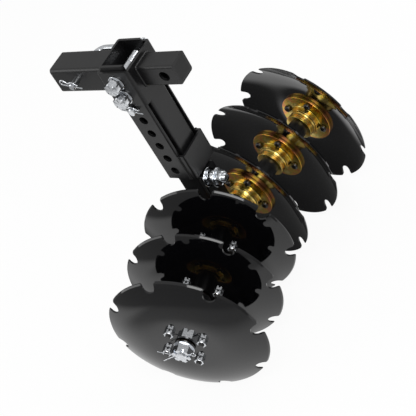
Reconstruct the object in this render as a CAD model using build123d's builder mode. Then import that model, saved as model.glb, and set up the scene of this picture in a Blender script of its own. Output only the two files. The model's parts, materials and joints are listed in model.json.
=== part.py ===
"""Compact hitch-mounted disc harrow with two three-disc gangs set in a shallow V.

Lengths are in millimetres. Z is up and the notched blades stand on Z = 0. The hitch bar runs along X and
the gangs lie across it, one towards +Y and one towards -Y. The origin is on the floor under the middle of
the machine's length.
"""

import os
from math import cos, radians, sin, sqrt

from build123d import *

# Hitch bar and receiver socket, both square tube
bar_size = 50.8
bar_wall = 6.35
bar_corner = 6.0
tube_inner_corner = 1.2
bar_reach = 135.0
bar_pin_from_end = 30.0
bar_pin_hole = 24.0
cap_thickness = 6.0
receiver_wall = 6.2
receiver_clearance = 0.3
receiver_corner = 7.5
receiver_reach = 189.0
receiver_pin_from_end = 59.0

# Perforated upright channel, open towards +X
channel_width = 63.5
channel_depth = 88.0
channel_wall = 6.0
channel_corner = 5.0
channel_above_bar = 46.0
hole_pitch = 38.1
hole_count = 8
hole_diameter = 20.6
top_bolt_above_bar = 9.0
channel_end_margin = 24.5

# Head sleeve that the bar and the receiver are welded to
sleeve_wall = 6.35
sleeve_gap = 1.2
sleeve_corner = 8.0
sleeve_above_bar = 36.0
sleeve_below_bar = 56.0

# Leg tube inside the channel, and the keeper that closes the channel's foot
leg_size = 60.0
leg_wall = 5.0
leg_corner = 6.0
leg_web_gap = 1.5
leg_top_below_bar = 10.0
leg_below_axle = 32.0
keeper_height = 68.0
keeper_gap = 6.3
keeper_wall = 6.0

# Large bolts, nuts and washers of the head
bolt_diameter = 20.0
bolt_head_flats = 30.0
bolt_head_height = 20.5
nut_height = 16.0
bolt_tail = 8.0
bolt_chamfer = 1.6
washer_diameter = 37.0
washer_thickness = 3.0

# Hitch pin, stop pin and their spring clips
hitch_pin_diameter = 15.9
hitch_pin_front = 21.0
hitch_pin_back = 17.0
hitch_pin_bend = 22.0
hitch_pin_handle = 24.0
stop_pin_diameter = 19.0
stop_pin_front = 17.0
stop_pin_collar = 30.0
stop_pin_collar_height = 8.0
clip_wire = 3.6
clip_leg = 26.0
clip_back = 24.0
clip_loop = 6.0
clip_from_end = 5.0
clip_tilt = 14.0
clip_flare = 9.0
clip_clearance = 0.8
pin_chamfer = 2.0

# Lock plate and its bolt on the leg
lock_plate_width = 54.0
lock_plate_height = 62.0
lock_plate_thickness = 8.0
lock_plate_corner = 4.0
lock_plate_below_keeper = 14.0
lock_bolt_below_plate_top = 16.0
lock_bolt_side = -10.0
lock_bolt_reach = 50.0
lock_washer_diameter = 44.0
lock_nut_step = 24.0

# Gangs
bar_above_axle = 472.0
gang_angle = 11.1
apex_ahead = 8.5
first_rim = 67.0
disc_spacing = 128.5
axle_diameter = 25.4
spacer_diameter = 48.3
running_gap = 0.05
end_gap = 0.3

# Notched concave blade
blade_diameter = 357.0
blade_dish = 27.0
blade_thickness = 4.0
blade_flat = 150.0
blade_edge = 2.2
blade_bevel = 2.5
notch_count = 8
notch_width = 30.0
notch_depth = 21.0
notch_turns = {1: 22.5, 2: 3.0, 3: 3.0, 4: 30.0, 5: 2.0, 6: 4.0}

# Four-bolt hub
hub_flange = 137.0
hub_flange_thickness = 8.0
hub_step = 80.0
hub_step_height = 14.0
hub_neck = 70.0
hub_neck_height = 18.0
hub_pilot = 44.0
hub_pilot_height = 3.0
hub_ring_groove = 2.0
hub_ring_width = 5.0
hub_ring_pitch = 10.0
hub_chamfer = 1.0
hub_step_chamfer = 3.0
hub_pitch_circle = 101.6
hub_bolt_count = 4
hub_bolt_diameter = 12.0
hub_bolt_hole = 13.0
hub_bolt_head = 18.0
hub_bolt_head_height = 7.0
hub_nut_flats = 19.0
hub_nut_height = 11.0
hub_bolt_tail = 5.0
hub_bolt_turns = {1: 30.0, -1: 15.0}

# Axle ends
axle_washer_diameter = 46.0
axle_washer_thickness = 4.0
castle_flats = 38.0
castle_height = 22.0
castle_slot = 6.0
castle_slot_depth = 7.0
axle_tail = 3.0
cotter_diameter = 4.4
cotter_wire = 3.0
cotter_reach = 23.0
cotter_leg = 34.0
cotter_spread = 28.0
cotter_eye = 10.0

# Heights worked out from the sizes above
blade_radius = blade_diameter / 2
axle_height = blade_radius
bar_height = axle_height + bar_above_axle
tilt = radians(gang_angle)
outer_rim = first_rim + 2 * disc_spacing
reach_ahead = apex_ahead + outer_rim * sin(tilt) + blade_radius * cos(tilt)
upright_x = (receiver_reach - reach_ahead) / 2

channel_front_x = upright_x + channel_width / 2
channel_web_x = upright_x - channel_width / 2
channel_top = bar_height + channel_above_bar
top_hole = bar_height + top_bolt_above_bar
hole_heights = [top_hole - hole_pitch * step for step in range(hole_count)]
channel_bottom = hole_heights[-1] - channel_end_margin

leg_low_x = channel_web_x + channel_wall + leg_web_gap
leg_high_x = leg_low_x + leg_size
leg_x = (leg_low_x + leg_high_x) / 2
leg_top = bar_height - leg_top_below_bar
leg_bottom = axle_height - leg_below_axle
keeper_stand_off = leg_high_x + keeper_gap + keeper_wall - channel_front_x

sleeve_low_x = channel_web_x - sleeve_gap - sleeve_wall
sleeve_high_x = leg_high_x + sleeve_gap + sleeve_wall
sleeve_depth = channel_depth + 2 * (sleeve_gap + sleeve_wall)
sleeve_top = bar_height + sleeve_above_bar
sleeve_bottom = bar_height - sleeve_below_bar

receiver_size = bar_size + 2 * (receiver_wall + receiver_clearance)
receiver_pin_x = upright_x - receiver_reach + receiver_pin_from_end
bar_end_x = upright_x + bar_reach
bar_pin_x = bar_end_x - bar_pin_from_end
apex = Vector(upright_x + apex_ahead, 0, axle_height)


def tube_section(width, depth, wall, corner):
    """Return the section of a rolled rectangular tube with rounded corners."""
    with BuildSketch() as section:
        RectangleRounded(width, depth, corner)
        inner_corner = max(corner - wall, tube_inner_corner)
        RectangleRounded(width - 2 * wall, depth - 2 * wall, inner_corner, mode=Mode.SUBTRACT)
    return section.sketch


def along_x(x, y=0.0, z=bar_height):
    """Return the plane at a place along the bar, facing +X, with its own X along Y."""
    return Plane(origin=(x, y, z), x_dir=(0, 1, 0), z_dir=(1, 0, 0))


def along_y(x, y, z):
    """Return the plane facing +Y at a point."""
    return Plane(origin=(x, y, z), x_dir=(1, 0, 0), z_dir=(0, 1, 0))


# Hitch bar
with BuildPart() as hitch_shank:
    with BuildSketch(along_x(sleeve_high_x)):
        add(tube_section(bar_size, bar_size, bar_wall, bar_corner))
    extrude(amount=bar_end_x - sleeve_high_x)
    with BuildSketch(along_y(bar_pin_x, -bar_size, bar_height)):
        Circle(bar_pin_hole / 2)
    extrude(amount=2 * bar_size, mode=Mode.SUBTRACT)

with BuildPart() as shank_cap:
    cap_size = bar_size - 2 * bar_wall
    with BuildSketch(along_x(bar_end_x - cap_thickness)):
        RectangleRounded(cap_size, cap_size, tube_inner_corner)
    extrude(amount=cap_thickness)

# Receiver socket for a second implement
with BuildPart() as receiver_tube:
    with BuildSketch(along_x(upright_x - receiver_reach)):
        add(tube_section(receiver_size, receiver_size, receiver_wall, receiver_corner))
    extrude(amount=sleeve_low_x - upright_x + receiver_reach)
    with BuildSketch(along_y(receiver_pin_x, -receiver_size, bar_height)):
        Circle(hitch_pin_diameter / 2 + running_gap)
    extrude(amount=2 * receiver_size, mode=Mode.SUBTRACT)

# Head sleeve
sleeve_width = sleeve_high_x - sleeve_low_x
sleeve_x = (sleeve_low_x + sleeve_high_x) / 2
with BuildPart() as head_sleeve:
    with BuildSketch(Plane.XY.offset(sleeve_bottom)):
        with Locations((sleeve_x, 0)):
            add(tube_section(sleeve_width, sleeve_depth, sleeve_wall, sleeve_corner))
    extrude(amount=sleeve_top - sleeve_bottom)
    with BuildSketch(along_y(upright_x, -sleeve_depth, 0)):
        with Locations((0, -hole_heights[0]), (0, -hole_heights[1])):
            Circle(hole_diameter / 2)
    extrude(amount=2 * sleeve_depth, mode=Mode.SUBTRACT)

# Perforated channel
with BuildPart() as upright_channel:
    with BuildSketch(Plane.XY.offset(channel_bottom)):
        with Locations((upright_x, 0)):
            RectangleRounded(channel_width, channel_depth, channel_corner)
        with Locations((upright_x + channel_wall, 0)):
            Rectangle(channel_width, channel_depth - 2 * channel_wall, mode=Mode.SUBTRACT)
    extrude(amount=channel_top - channel_bottom)
    with BuildSketch(along_y(upright_x, -channel_depth, 0)):
        with Locations(*[(0, -height) for height in hole_heights]):
            Circle(hole_diameter / 2)
    extrude(amount=2 * channel_depth, mode=Mode.SUBTRACT)

# Leg
with BuildPart() as leg_tube:
    with BuildSketch(Plane.XY.offset(leg_bottom)):
        with Locations((leg_x, 0)):
            add(tube_section(leg_size, leg_size, leg_wall, leg_corner))
    extrude(amount=leg_top - leg_bottom)
    with BuildSketch(along_y(upright_x, -leg_size, 0)):
        with Locations((0, -hole_heights[1]), (0, -hole_heights[2])):
            Circle(hole_diameter / 2)
    extrude(amount=2 * leg_size, mode=Mode.SUBTRACT)

# Keeper welded across the channel's open side
with BuildPart() as leg_keeper:
    with BuildSketch(Plane.XY.offset(channel_bottom)):
        with Locations((channel_front_x + keeper_stand_off / 2, 0)):
            Rectangle(keeper_stand_off, channel_depth)
        with Locations((channel_front_x + (keeper_stand_off - keeper_wall) / 2, 0)):
            Rectangle(keeper_stand_off - keeper_wall, channel_depth - 2 * channel_wall, mode=Mode.SUBTRACT)
    extrude(amount=keeper_height)
    outer_edges = leg_keeper.edges().filter_by(Axis.Z).group_by(Axis.X)[-1]
    fillet(outer_edges, channel_corner)


def hex_bolt(name, plane, diameter, flats, head, length):
    """Return a hexagon bolt whose head sits on the plane and whose shank runs back from it."""
    with BuildPart() as piece:
        with BuildSketch(plane):
            RegularPolygon(flats / 2, 6, major_radius=False)
        extrude(amount=head)
        with BuildSketch(plane):
            Circle(diameter / 2)
        extrude(amount=-length)
        tail = piece.faces().sort_by(Axis(plane.origin, plane.z_dir))[0]
        chamfer(tail.edges(), bolt_chamfer)
    piece.part.label = name
    return piece


# Clamp bolts through the sleeve, with washers and nuts
sleeve_side = sleeve_depth / 2
head_seat = sleeve_side + washer_thickness
clamp_length = 2 * head_seat + nut_height + bolt_tail
clamp_bolts = []
for label, height in zip(("upper_clamp_bolt", "lower_clamp_bolt"), hole_heights):
    seat = Plane(origin=(upright_x, -head_seat, height), x_dir=(1, 0, 0), z_dir=(0, -1, 0))
    clamp_bolts.append(hex_bolt(label, seat, bolt_diameter, bolt_head_flats, bolt_head_height, clamp_length))

with BuildPart() as clamp_washers:
    for side in (-head_seat, sleeve_side):
        with BuildSketch(along_y(upright_x, side, 0)):
            with Locations((0, -hole_heights[0]), (0, -hole_heights[1])):
                Circle(washer_diameter / 2)
                Circle(bolt_diameter / 2, mode=Mode.SUBTRACT)
        extrude(amount=washer_thickness)

with BuildPart() as clamp_nuts:
    with BuildSketch(along_y(upright_x, head_seat, 0)):
        with Locations((0, -hole_heights[0]), (0, -hole_heights[1])):
            RegularPolygon(bolt_head_flats / 2, 6, major_radius=False)
            Circle(bolt_diameter / 2, mode=Mode.SUBTRACT)
    extrude(amount=nut_height)


clip_lean = Vector(cos(radians(clip_tilt)), 0, -sin(radians(clip_tilt)))


def hairpin(name, middle, pin_diameter):
    """Return a spring clip whose straight leg crosses a pin and whose bowed leg grips round it."""
    grip = pin_diameter / 2 + clip_wire / 2 + clip_clearance
    shoulder = grip * cos(radians(45))
    with BuildPart() as piece:
        with BuildLine(Plane(origin=middle, x_dir=clip_lean, z_dir=(0, -1, 0))) as route:
            straight = Line((clip_leg, 0), (-clip_back, 0))
            TangentArc(straight @ 1, (-clip_back, 2 * clip_loop), tangent=(-1, 0))
            Spline((-clip_back, 2 * clip_loop), (-shoulder, shoulder), tangents=((1, 0), (1, 1)))
            ThreePointArc((-shoulder, shoulder), (0, grip), (shoulder, shoulder))
            Spline((shoulder, shoulder), (shoulder + clip_flare, shoulder), tangents=((1, -1), (1, 1)))
        with BuildSketch(Plane(origin=route.line @ 0, z_dir=route.line % 0)):
            Circle(clip_wire / 2)
        sweep()
    piece.part.label = name
    return piece


# Bent hitch pin
pin_front = -(receiver_size / 2 + hitch_pin_front)
pin_back = receiver_size / 2 + hitch_pin_back
hitch_clip_place = Vector(receiver_pin_x, pin_front + clip_from_end, bar_height)
bend_x = receiver_pin_x + hitch_pin_bend
with BuildPart() as receiver_pin:
    with BuildSketch(along_y(receiver_pin_x, pin_front, bar_height)):
        Circle(hitch_pin_diameter / 2)
    extrude(amount=pin_back - pin_front)
    with BuildSketch(along_y(receiver_pin_x, pin_back, bar_height)):
        Circle(hitch_pin_diameter / 2)
    revolve(axis=Axis((bend_x, pin_back, bar_height), (0, 0, -1)), revolution_arc=90)
    with BuildSketch(along_x(bend_x, pin_back + hitch_pin_bend)):
        Circle(hitch_pin_diameter / 2)
    extrude(amount=hitch_pin_handle)
    chamfer(receiver_pin.faces().sort_by(Axis.Y)[0].edges(), pin_chamfer)
    with BuildSketch(Plane(origin=hitch_clip_place, z_dir=clip_lean)):
        Circle(clip_wire / 2)
    extrude(amount=hitch_pin_diameter, both=True, mode=Mode.SUBTRACT)

# Stop pin under the sleeve, its head behind the sleeve's back face
stop_front = -(channel_depth / 2 + stop_pin_front)
stop_clip_place = Vector(upright_x, stop_front + clip_from_end, hole_heights[2])
with BuildPart() as stop_pin:
    with BuildSketch(along_y(upright_x, stop_front, hole_heights[2])):
        Circle(stop_pin_diameter / 2)
    extrude(amount=sleeve_depth / 2 - stop_front)
    with BuildSketch(along_y(upright_x, sleeve_depth / 2, hole_heights[2])):
        Circle(stop_pin_collar / 2)
    extrude(amount=stop_pin_collar_height)
    chamfer(stop_pin.faces().sort_by(Axis.Y)[0].edges(), pin_chamfer)
    with BuildSketch(Plane(origin=stop_clip_place, z_dir=clip_lean)):
        Circle(clip_wire / 2)
    extrude(amount=stop_pin_diameter, both=True, mode=Mode.SUBTRACT)

receiver_clip = hairpin("receiver_clip", hitch_clip_place, hitch_pin_diameter)
stop_clip = hairpin("stop_clip", stop_clip_place, stop_pin_diameter)

# Lock plate on the leg, with its bolt
plate_top = channel_bottom - lock_plate_below_keeper
with BuildPart() as lock_plate:
    with BuildSketch(along_x(leg_high_x, 0, plate_top - lock_plate_height / 2)):
        RectangleRounded(lock_plate_width, lock_plate_height, lock_plate_corner)
    extrude(amount=lock_plate_thickness)
    with BuildSketch(along_x(leg_high_x, lock_bolt_side, plate_top - lock_bolt_below_plate_top)):
        Circle(bolt_diameter / 2)
    extrude(amount=lock_plate_thickness, mode=Mode.SUBTRACT)

lock_axis = along_x(leg_high_x + lock_plate_thickness, lock_bolt_side, plate_top - lock_bolt_below_plate_top)
with BuildPart() as lock_bolt:
    with BuildSketch(lock_axis.offset(-lock_plate_thickness)):
        Circle(bolt_diameter / 2)
    extrude(amount=lock_plate_thickness + lock_bolt_reach)
    chamfer(lock_bolt.faces().sort_by(Axis.X)[-1].edges(), bolt_chamfer)

with BuildPart() as lock_nuts:
    for start in (0, lock_nut_step):
        with BuildSketch(lock_axis.offset(start)):
            Circle(lock_washer_diameter / 2)
            Circle(bolt_diameter / 2, mode=Mode.SUBTRACT)
        extrude(amount=washer_thickness)
        with BuildSketch(lock_axis.offset(start + washer_thickness)):
            RegularPolygon(bolt_head_flats / 2, 6, major_radius=False)
            Circle(bolt_diameter / 2, mode=Mode.SUBTRACT)
        extrude(amount=nut_height)


def gang_frame(side):
    """Return the outward direction and the section plane of the gang on one side of the upright."""
    outward = Vector(sin(tilt), side * cos(tilt), 0)
    across = Vector(cos(tilt), -side * sin(tilt), 0)
    section = Plane(origin=apex, x_dir=across, z_dir=across.cross(outward))
    return outward, section


def cross_plane(side, distance):
    """Return the plane square to a gang's axle, a distance out from the point of the V."""
    outward, section = gang_frame(side)
    return Plane(origin=apex + outward * distance, x_dir=section.x_dir, z_dir=outward)


def gang_axis(side):
    """Return the axle line of the gang on one side."""
    return Axis(apex, gang_frame(side)[0])


flat_radius = blade_flat / 2
dish_radius = ((blade_radius - flat_radius) ** 2 + blade_dish**2) / (2 * blade_dish)
pilot_end = blade_dish + blade_thickness + hub_pilot_height
neck_start = blade_dish - hub_flange_thickness - hub_step_height - hub_neck_height


def dish_point(radius, offset):
    """Return a point of the dished curve at a radius, offset outwards from the concave face."""
    level = blade_dish - dish_radius
    return (radius, level + sqrt((dish_radius + offset) ** 2 - (radius - flat_radius) ** 2))


def moved(point, distance):
    """Return a section point pushed out along the axle."""
    return (point[0], point[1] + distance)


def blade(name, side, rim, turn):
    """Return one notched blade, its concave face towards the middle of the machine."""
    middle = (flat_radius + blade_radius) / 2
    back = blade_radius - blade_bevel
    inside = [dish_point(flat_radius, 0), dish_point(middle, 0), dish_point(blade_radius, 0)]
    back_middle = (flat_radius + back) / 2
    outside = [
        dish_point(back, blade_thickness),
        dish_point(back_middle, blade_thickness),
        dish_point(flat_radius, blade_thickness),
    ]
    inside = [moved(point, rim) for point in inside]
    outside = [moved(point, rim) for point in outside]
    bore = hub_pilot / 2
    with BuildPart() as piece:
        with BuildSketch(gang_frame(side)[1]):
            with BuildLine():
                Line((bore, rim + blade_dish), inside[0])
                ThreePointArc(*inside)
                Line(inside[2], (blade_radius, rim + blade_edge))
                Line((blade_radius, rim + blade_edge), outside[0])
                ThreePointArc(*outside)
                Line(outside[2], (bore, rim + blade_dish + blade_thickness))
                Line((bore, rim + blade_dish + blade_thickness), (bore, rim + blade_dish))
            make_face()
        revolve(axis=gang_axis(side))
        notch_centre = blade_radius - notch_depth + notch_width / 2
        with BuildSketch(cross_plane(side, rim - blade_thickness)):
            with PolarLocations(notch_centre, notch_count, start_angle=-side * turn):
                SlotCenterPoint((notch_depth, 0), (2 * notch_depth, 0), notch_width)
        extrude(amount=blade_dish, mode=Mode.SUBTRACT)
        with BuildSketch(cross_plane(side, rim)):
            with PolarLocations(hub_pitch_circle / 2, hub_bolt_count, start_angle=hub_bolt_turns[side]):
                Circle(hub_bolt_hole / 2)
        extrude(amount=2 * blade_dish, mode=Mode.SUBTRACT)
    piece.part.label = name
    return piece


def hub(name, side, rim):
    """Return one hub: pilot, flange, step and ringed neck, bored for the axle."""
    bore = axle_diameter / 2 + running_gap
    seat = rim + blade_dish
    flange = seat - hub_flange_thickness
    step = flange - hub_step_height
    neck = step - hub_neck_height
    groove = hub_neck / 2 - hub_ring_groove
    ring = neck + hub_ring_width
    ring_end = neck + hub_ring_pitch
    with BuildPart() as piece:
        with BuildSketch(gang_frame(side)[1]):
            with BuildLine():
                Polyline(
                    (bore, neck),
                    (hub_neck / 2 - hub_chamfer, neck),
                    (hub_neck / 2, neck + hub_chamfer),
                    (hub_neck / 2, ring),
                    (groove, ring + hub_chamfer),
                    (groove, ring_end - hub_chamfer),
                    (hub_neck / 2, ring_end),
                    (hub_neck / 2, step),
                    (hub_step / 2 - hub_step_chamfer, step),
                    (hub_step / 2, step + hub_step_chamfer),
                    (hub_step / 2, flange),
                    (hub_flange / 2 - hub_chamfer, flange),
                    (hub_flange / 2, flange + hub_chamfer),
                    (hub_flange / 2, seat),
                    (hub_pilot / 2, seat),
                    (hub_pilot / 2, rim + pilot_end - hub_chamfer),
                    (hub_pilot / 2 - hub_chamfer, rim + pilot_end),
                    (bore, rim + pilot_end),
                    close=True,
                )
            make_face()
        revolve(axis=gang_axis(side))
        with BuildSketch(cross_plane(side, flange)):
            with PolarLocations(hub_pitch_circle / 2, hub_bolt_count, start_angle=hub_bolt_turns[side]):
                Circle(hub_bolt_hole / 2)
        extrude(amount=hub_flange_thickness, mode=Mode.SUBTRACT)
    piece.part.label = name
    return piece


def hub_bolts(name, side, rim):
    """Return the four bolts of one hub, each with its nut on the convex side of the blade."""
    flange = rim + blade_dish - hub_flange_thickness
    back = rim + blade_dish + blade_thickness
    with BuildPart() as piece:
        with BuildSketch(cross_plane(side, flange - hub_bolt_head_height)):
            with PolarLocations(hub_pitch_circle / 2, hub_bolt_count, start_angle=hub_bolt_turns[side]):
                Circle(hub_bolt_head / 2)
        extrude(amount=hub_bolt_head_height)
        with BuildSketch(cross_plane(side, flange)):
            with PolarLocations(hub_pitch_circle / 2, hub_bolt_count, start_angle=hub_bolt_turns[side]):
                Circle(hub_bolt_diameter / 2)
        extrude(amount=back - flange + hub_nut_height + hub_bolt_tail)
        with BuildSketch(cross_plane(side, back)):
            with PolarLocations(hub_pitch_circle / 2, hub_bolt_count, start_angle=hub_bolt_turns[side]):
                RegularPolygon(hub_nut_flats / 2, 6, major_radius=False)
        extrude(amount=hub_nut_height)
    piece.part.label = name
    return piece


def collar(side, start, end, outer):
    """Return a round collar that sits on a gang's axle between two distances."""
    with BuildPart() as piece:
        with BuildSketch(cross_plane(side, start)):
            Circle(outer / 2)
            Circle(axle_diameter / 2, mode=Mode.SUBTRACT)
        extrude(amount=end - start)
    return piece.part


rims = [first_rim, first_rim + disc_spacing, outer_rim]
castle_start = outer_rim + pilot_end + end_gap + axle_washer_thickness
castle_end = castle_start + castle_height
cotter_place = castle_end - castle_slot_depth / 2


def outside_leg(side):
    """Return the plane of the leg's side face, facing outwards."""
    return Plane(origin=(0, side * leg_size / 2, 0), x_dir=(1, 0, 0), z_dir=(0, side, 0))


def axle(name, side):
    """Return one gang's fixed axle, cross-drilled near its outer end."""
    with BuildPart() as piece:
        with BuildSketch(cross_plane(side, 0)):
            Circle(axle_diameter / 2)
        extrude(amount=castle_end + axle_tail)
        chamfer(piece.faces().sort_by(gang_axis(side))[-1].edges(), bolt_chamfer)
        split(bisect_by=outside_leg(side), keep=Keep.TOP)
        across = cross_plane(side, cotter_place)
        with BuildSketch(Plane(origin=across.origin, z_dir=across.x_dir)):
            Circle(cotter_diameter / 2)
        extrude(amount=axle_diameter, both=True, mode=Mode.SUBTRACT)
    piece.part.label = name
    return piece


def axle_socket(name, side):
    """Return the tube on the leg's side that holds one axle's inner end."""
    with BuildPart() as piece:
        add(collar(side, 0, first_rim + neck_start - end_gap, spacer_diameter))
        split(bisect_by=outside_leg(side), keep=Keep.TOP)
    piece.part.label = name
    return piece


def spacers(name, side):
    """Return the two tubes that keep one gang's hubs apart."""
    with BuildPart() as piece:
        for rim in rims[:2]:
            start = rim + pilot_end + end_gap
            end = rim + disc_spacing + neck_start - end_gap
            add(collar(side, start, end, spacer_diameter))
    piece.part.label = name
    return piece


with BuildPart() as axle_washers:
    for side in (1, -1):
        add(collar(side, castle_start - axle_washer_thickness, castle_start, axle_washer_diameter))

with BuildPart() as castle_nuts:
    for side in (1, -1):
        with BuildSketch(cross_plane(side, castle_start)):
            RegularPolygon(castle_flats / 2, 6, major_radius=False, rotation=30)
            Circle(axle_diameter / 2, mode=Mode.SUBTRACT)
        extrude(amount=castle_height)
        with BuildSketch(cross_plane(side, castle_end)):
            with PolarLocations(0, 3):
                Rectangle(2 * castle_flats, castle_slot)
        extrude(amount=-castle_slot_depth, mode=Mode.SUBTRACT)

with BuildPart() as cotter_pins:
    for side in (1, -1):
        across = cross_plane(side, cotter_place)
        with BuildSketch(Plane(origin=across.origin, z_dir=across.x_dir)):
            Circle(cotter_diameter / 2)
        extrude(amount=cotter_reach, both=True)
        for spread in (180 - cotter_spread, 180 + cotter_spread):
            leg = across.x_dir.rotate(Axis(across.origin, across.z_dir), spread)
            with BuildSketch(Plane(origin=across.origin - across.x_dir * cotter_reach, z_dir=leg)):
                Circle(cotter_wire / 2)
            extrude(amount=cotter_leg)
        eye = across.origin + across.x_dir * (cotter_reach + cotter_eye / 2)
        with Locations(Plane(origin=eye, z_dir=across.z_dir)):
            Torus(cotter_eye / 2, cotter_wire / 2)

gangs = []
for gang, side in (("far", 1), ("near", -1)):
    gangs += [
        axle(f"axle_{gang}", side),
        axle_socket(f"axle_socket_{gang}", side),
        spacers(f"spacers_{gang}", side),
    ]

# Discs 1 to 3 run inwards on the far gang and 4 to 6 outwards on the near gang
discs = []
for number, turn in notch_turns.items():
    side = 1 if number <= 3 else -1
    rim = rims[3 - number] if side == 1 else rims[number - 4]
    discs += [
        blade(f"blade_{number}", side, rim, turn),
        hub(f"hub_{number}", side, rim),
        hub_bolts(f"hub_bolts_{number}", side, rim),
    ]

single_pieces = {
    "hitch_shank": hitch_shank,
    "shank_cap": shank_cap,
    "receiver_tube": receiver_tube,
    "receiver_pin": receiver_pin,
    "head_sleeve": head_sleeve,
    "upright_channel": upright_channel,
    "clamp_washers": clamp_washers,
    "clamp_nuts": clamp_nuts,
    "stop_pin": stop_pin,
    "leg_tube": leg_tube,
    "leg_keeper": leg_keeper,
    "lock_plate": lock_plate,
    "lock_bolt": lock_bolt,
    "lock_nuts": lock_nuts,
    "axle_washers": axle_washers,
    "castle_nuts": castle_nuts,
    "cotter_pins": cotter_pins,
}
for name, piece in single_pieces.items():
    piece.part.label = name

os.makedirs("parts", exist_ok=True)
for piece in [*single_pieces.values(), *clamp_bolts, receiver_clip, stop_clip, *gangs, *discs]:
    export_step(piece.part, f"parts/{piece.part.label}.step")
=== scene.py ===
"""Looks of a compact disc harrow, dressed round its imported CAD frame.

The harrow stands on the floor at Z = 0 with its hitch bar along X. Lengths are in metres unless a name says
otherwise. The blades, hubs, bolts and nuts are smooth surfaces worked out from the sizes of the CAD pieces
that they stand for, and the tubes keep their CAD meshes and take a finish.
"""

from __future__ import annotations

import json
import logging
import math
from dataclasses import dataclass, field
from enum import Enum
from typing import Any

import bmesh
import bpy
import numpy as np
from mathutils import Matrix, Vector

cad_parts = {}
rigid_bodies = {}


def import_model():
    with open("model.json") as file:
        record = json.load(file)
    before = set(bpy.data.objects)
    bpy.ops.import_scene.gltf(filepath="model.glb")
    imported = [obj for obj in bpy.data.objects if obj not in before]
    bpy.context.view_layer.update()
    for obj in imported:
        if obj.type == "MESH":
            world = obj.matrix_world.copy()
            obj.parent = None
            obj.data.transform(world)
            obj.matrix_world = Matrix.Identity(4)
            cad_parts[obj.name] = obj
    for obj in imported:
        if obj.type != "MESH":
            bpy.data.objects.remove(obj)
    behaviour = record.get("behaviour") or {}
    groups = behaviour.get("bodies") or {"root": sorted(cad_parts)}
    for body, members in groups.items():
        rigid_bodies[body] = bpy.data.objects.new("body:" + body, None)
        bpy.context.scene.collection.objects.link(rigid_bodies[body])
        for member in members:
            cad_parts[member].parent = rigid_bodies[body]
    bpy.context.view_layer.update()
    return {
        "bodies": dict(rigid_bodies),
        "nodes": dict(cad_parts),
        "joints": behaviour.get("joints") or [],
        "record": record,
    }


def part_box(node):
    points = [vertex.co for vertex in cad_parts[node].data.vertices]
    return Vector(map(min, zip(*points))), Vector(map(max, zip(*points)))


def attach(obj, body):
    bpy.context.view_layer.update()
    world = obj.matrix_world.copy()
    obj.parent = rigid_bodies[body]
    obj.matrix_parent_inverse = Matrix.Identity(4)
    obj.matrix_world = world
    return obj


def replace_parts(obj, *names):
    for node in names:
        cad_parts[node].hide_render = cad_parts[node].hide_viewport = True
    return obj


log = logging.getLogger("harrow")

MM = 0.001
FULL_TURN = 2 * math.pi
WHITE = (1.0, 1.0, 1.0, 1.0)


class Side(Enum):
    """The two gangs, by the sign of Y that they run to."""

    FAR = 1
    NEAR = -1


# The angle of each gang's first hub bolts, from across towards up
HUB_BOLT_DEGREES = {Side.FAR: -30.0, Side.NEAR: 15.0}


class Slot(Enum):
    """The record's material slots."""

    FRAME = "frame_black"
    PLUG = "plug_black"
    ZINC = "bright_zinc"
    BLADE = "blade_black"
    HUB = "hub_gold"
    FASTENER = "hub_fasteners"


def linear(colour: str) -> tuple[float, float, float, float]:
    """Turn an sRGB hex colour, six digits after a hash sign, to linear red, green, blue and alpha."""
    parts = [int(colour[i : i + 2], 16) / 255 for i in (1, 3, 5)]
    return (*[p / 12.92 if p <= 0.04045 else ((p + 0.055) / 1.055) ** 2.4 for p in parts], 1.0)


def add_node(
    tree: bpy.types.NodeTree,
    kind: str,
    inputs: dict[Any, Any] | None = None,
    stops: list[tuple[float, str]] | None = None,
    **settings: Any,
) -> Any:
    """Add a node, set its properties and colour stops, and fill or link its inputs.

    Args:
        tree: The node tree that gets the node.
        kind: The node's type name.
        inputs: Values or output sockets, by input name or index.
        stops: Positions and sRGB hex colours of a colour ramp, in rising order.
        **settings: Properties of the node itself.

    Returns:
        The new node.
    """
    made = tree.nodes.new(kind)
    for name, value in settings.items():
        setattr(made, name, value)
    for name, value in (inputs or {}).items():
        if isinstance(value, bpy.types.NodeSocket):
            tree.links.new(value, made.inputs[name])
        else:
            made.inputs[name].default_value = value
    if stops:
        elements = made.color_ramp.elements
        while len(elements) < len(stops):
            elements.new(0.5)
        for element, (position, colour) in zip(elements, stops):
            element.position, element.color = position, linear(colour)
    return made


def new_material(name: str) -> tuple[bpy.types.Material, bpy.types.NodeTree, Any]:
    """Make an empty node material.

    Args:
        name: The material's name.

    Returns:
        The material, its node tree and its output node.
    """
    material = bpy.data.materials.new(name)
    material.use_nodes = True
    tree = material.node_tree
    tree.nodes.clear()
    return material, tree, tree.nodes.new("ShaderNodeOutputMaterial")


def cells_per_metre(size_mm: float) -> float:
    """Return the noise scale whose features are about a size in millimetres."""
    return 1 / (size_mm * MM)


@dataclass(frozen=True)
class Finish:
    """A finish made of nodes that read Object coordinates."""

    name: str

    def shading(self, tree: bpy.types.NodeTree, place: Any) -> dict[str, Any]:
        """Return the shader's values and sockets by input name, from the Object coordinates' socket."""
        raise NotImplementedError

    def build(self) -> bpy.types.Material:
        """Build the material.

        Returns:
            The material, its shader linked to its output.
        """
        material, tree, output = new_material(self.name)
        place = add_node(tree, "ShaderNodeTexCoord").outputs["Object"]
        shader = add_node(tree, "ShaderNodeBsdfPrincipled", self.shading(tree, place))
        tree.links.new(shader.outputs["BSDF"], output.inputs["Surface"])
        return material


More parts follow.
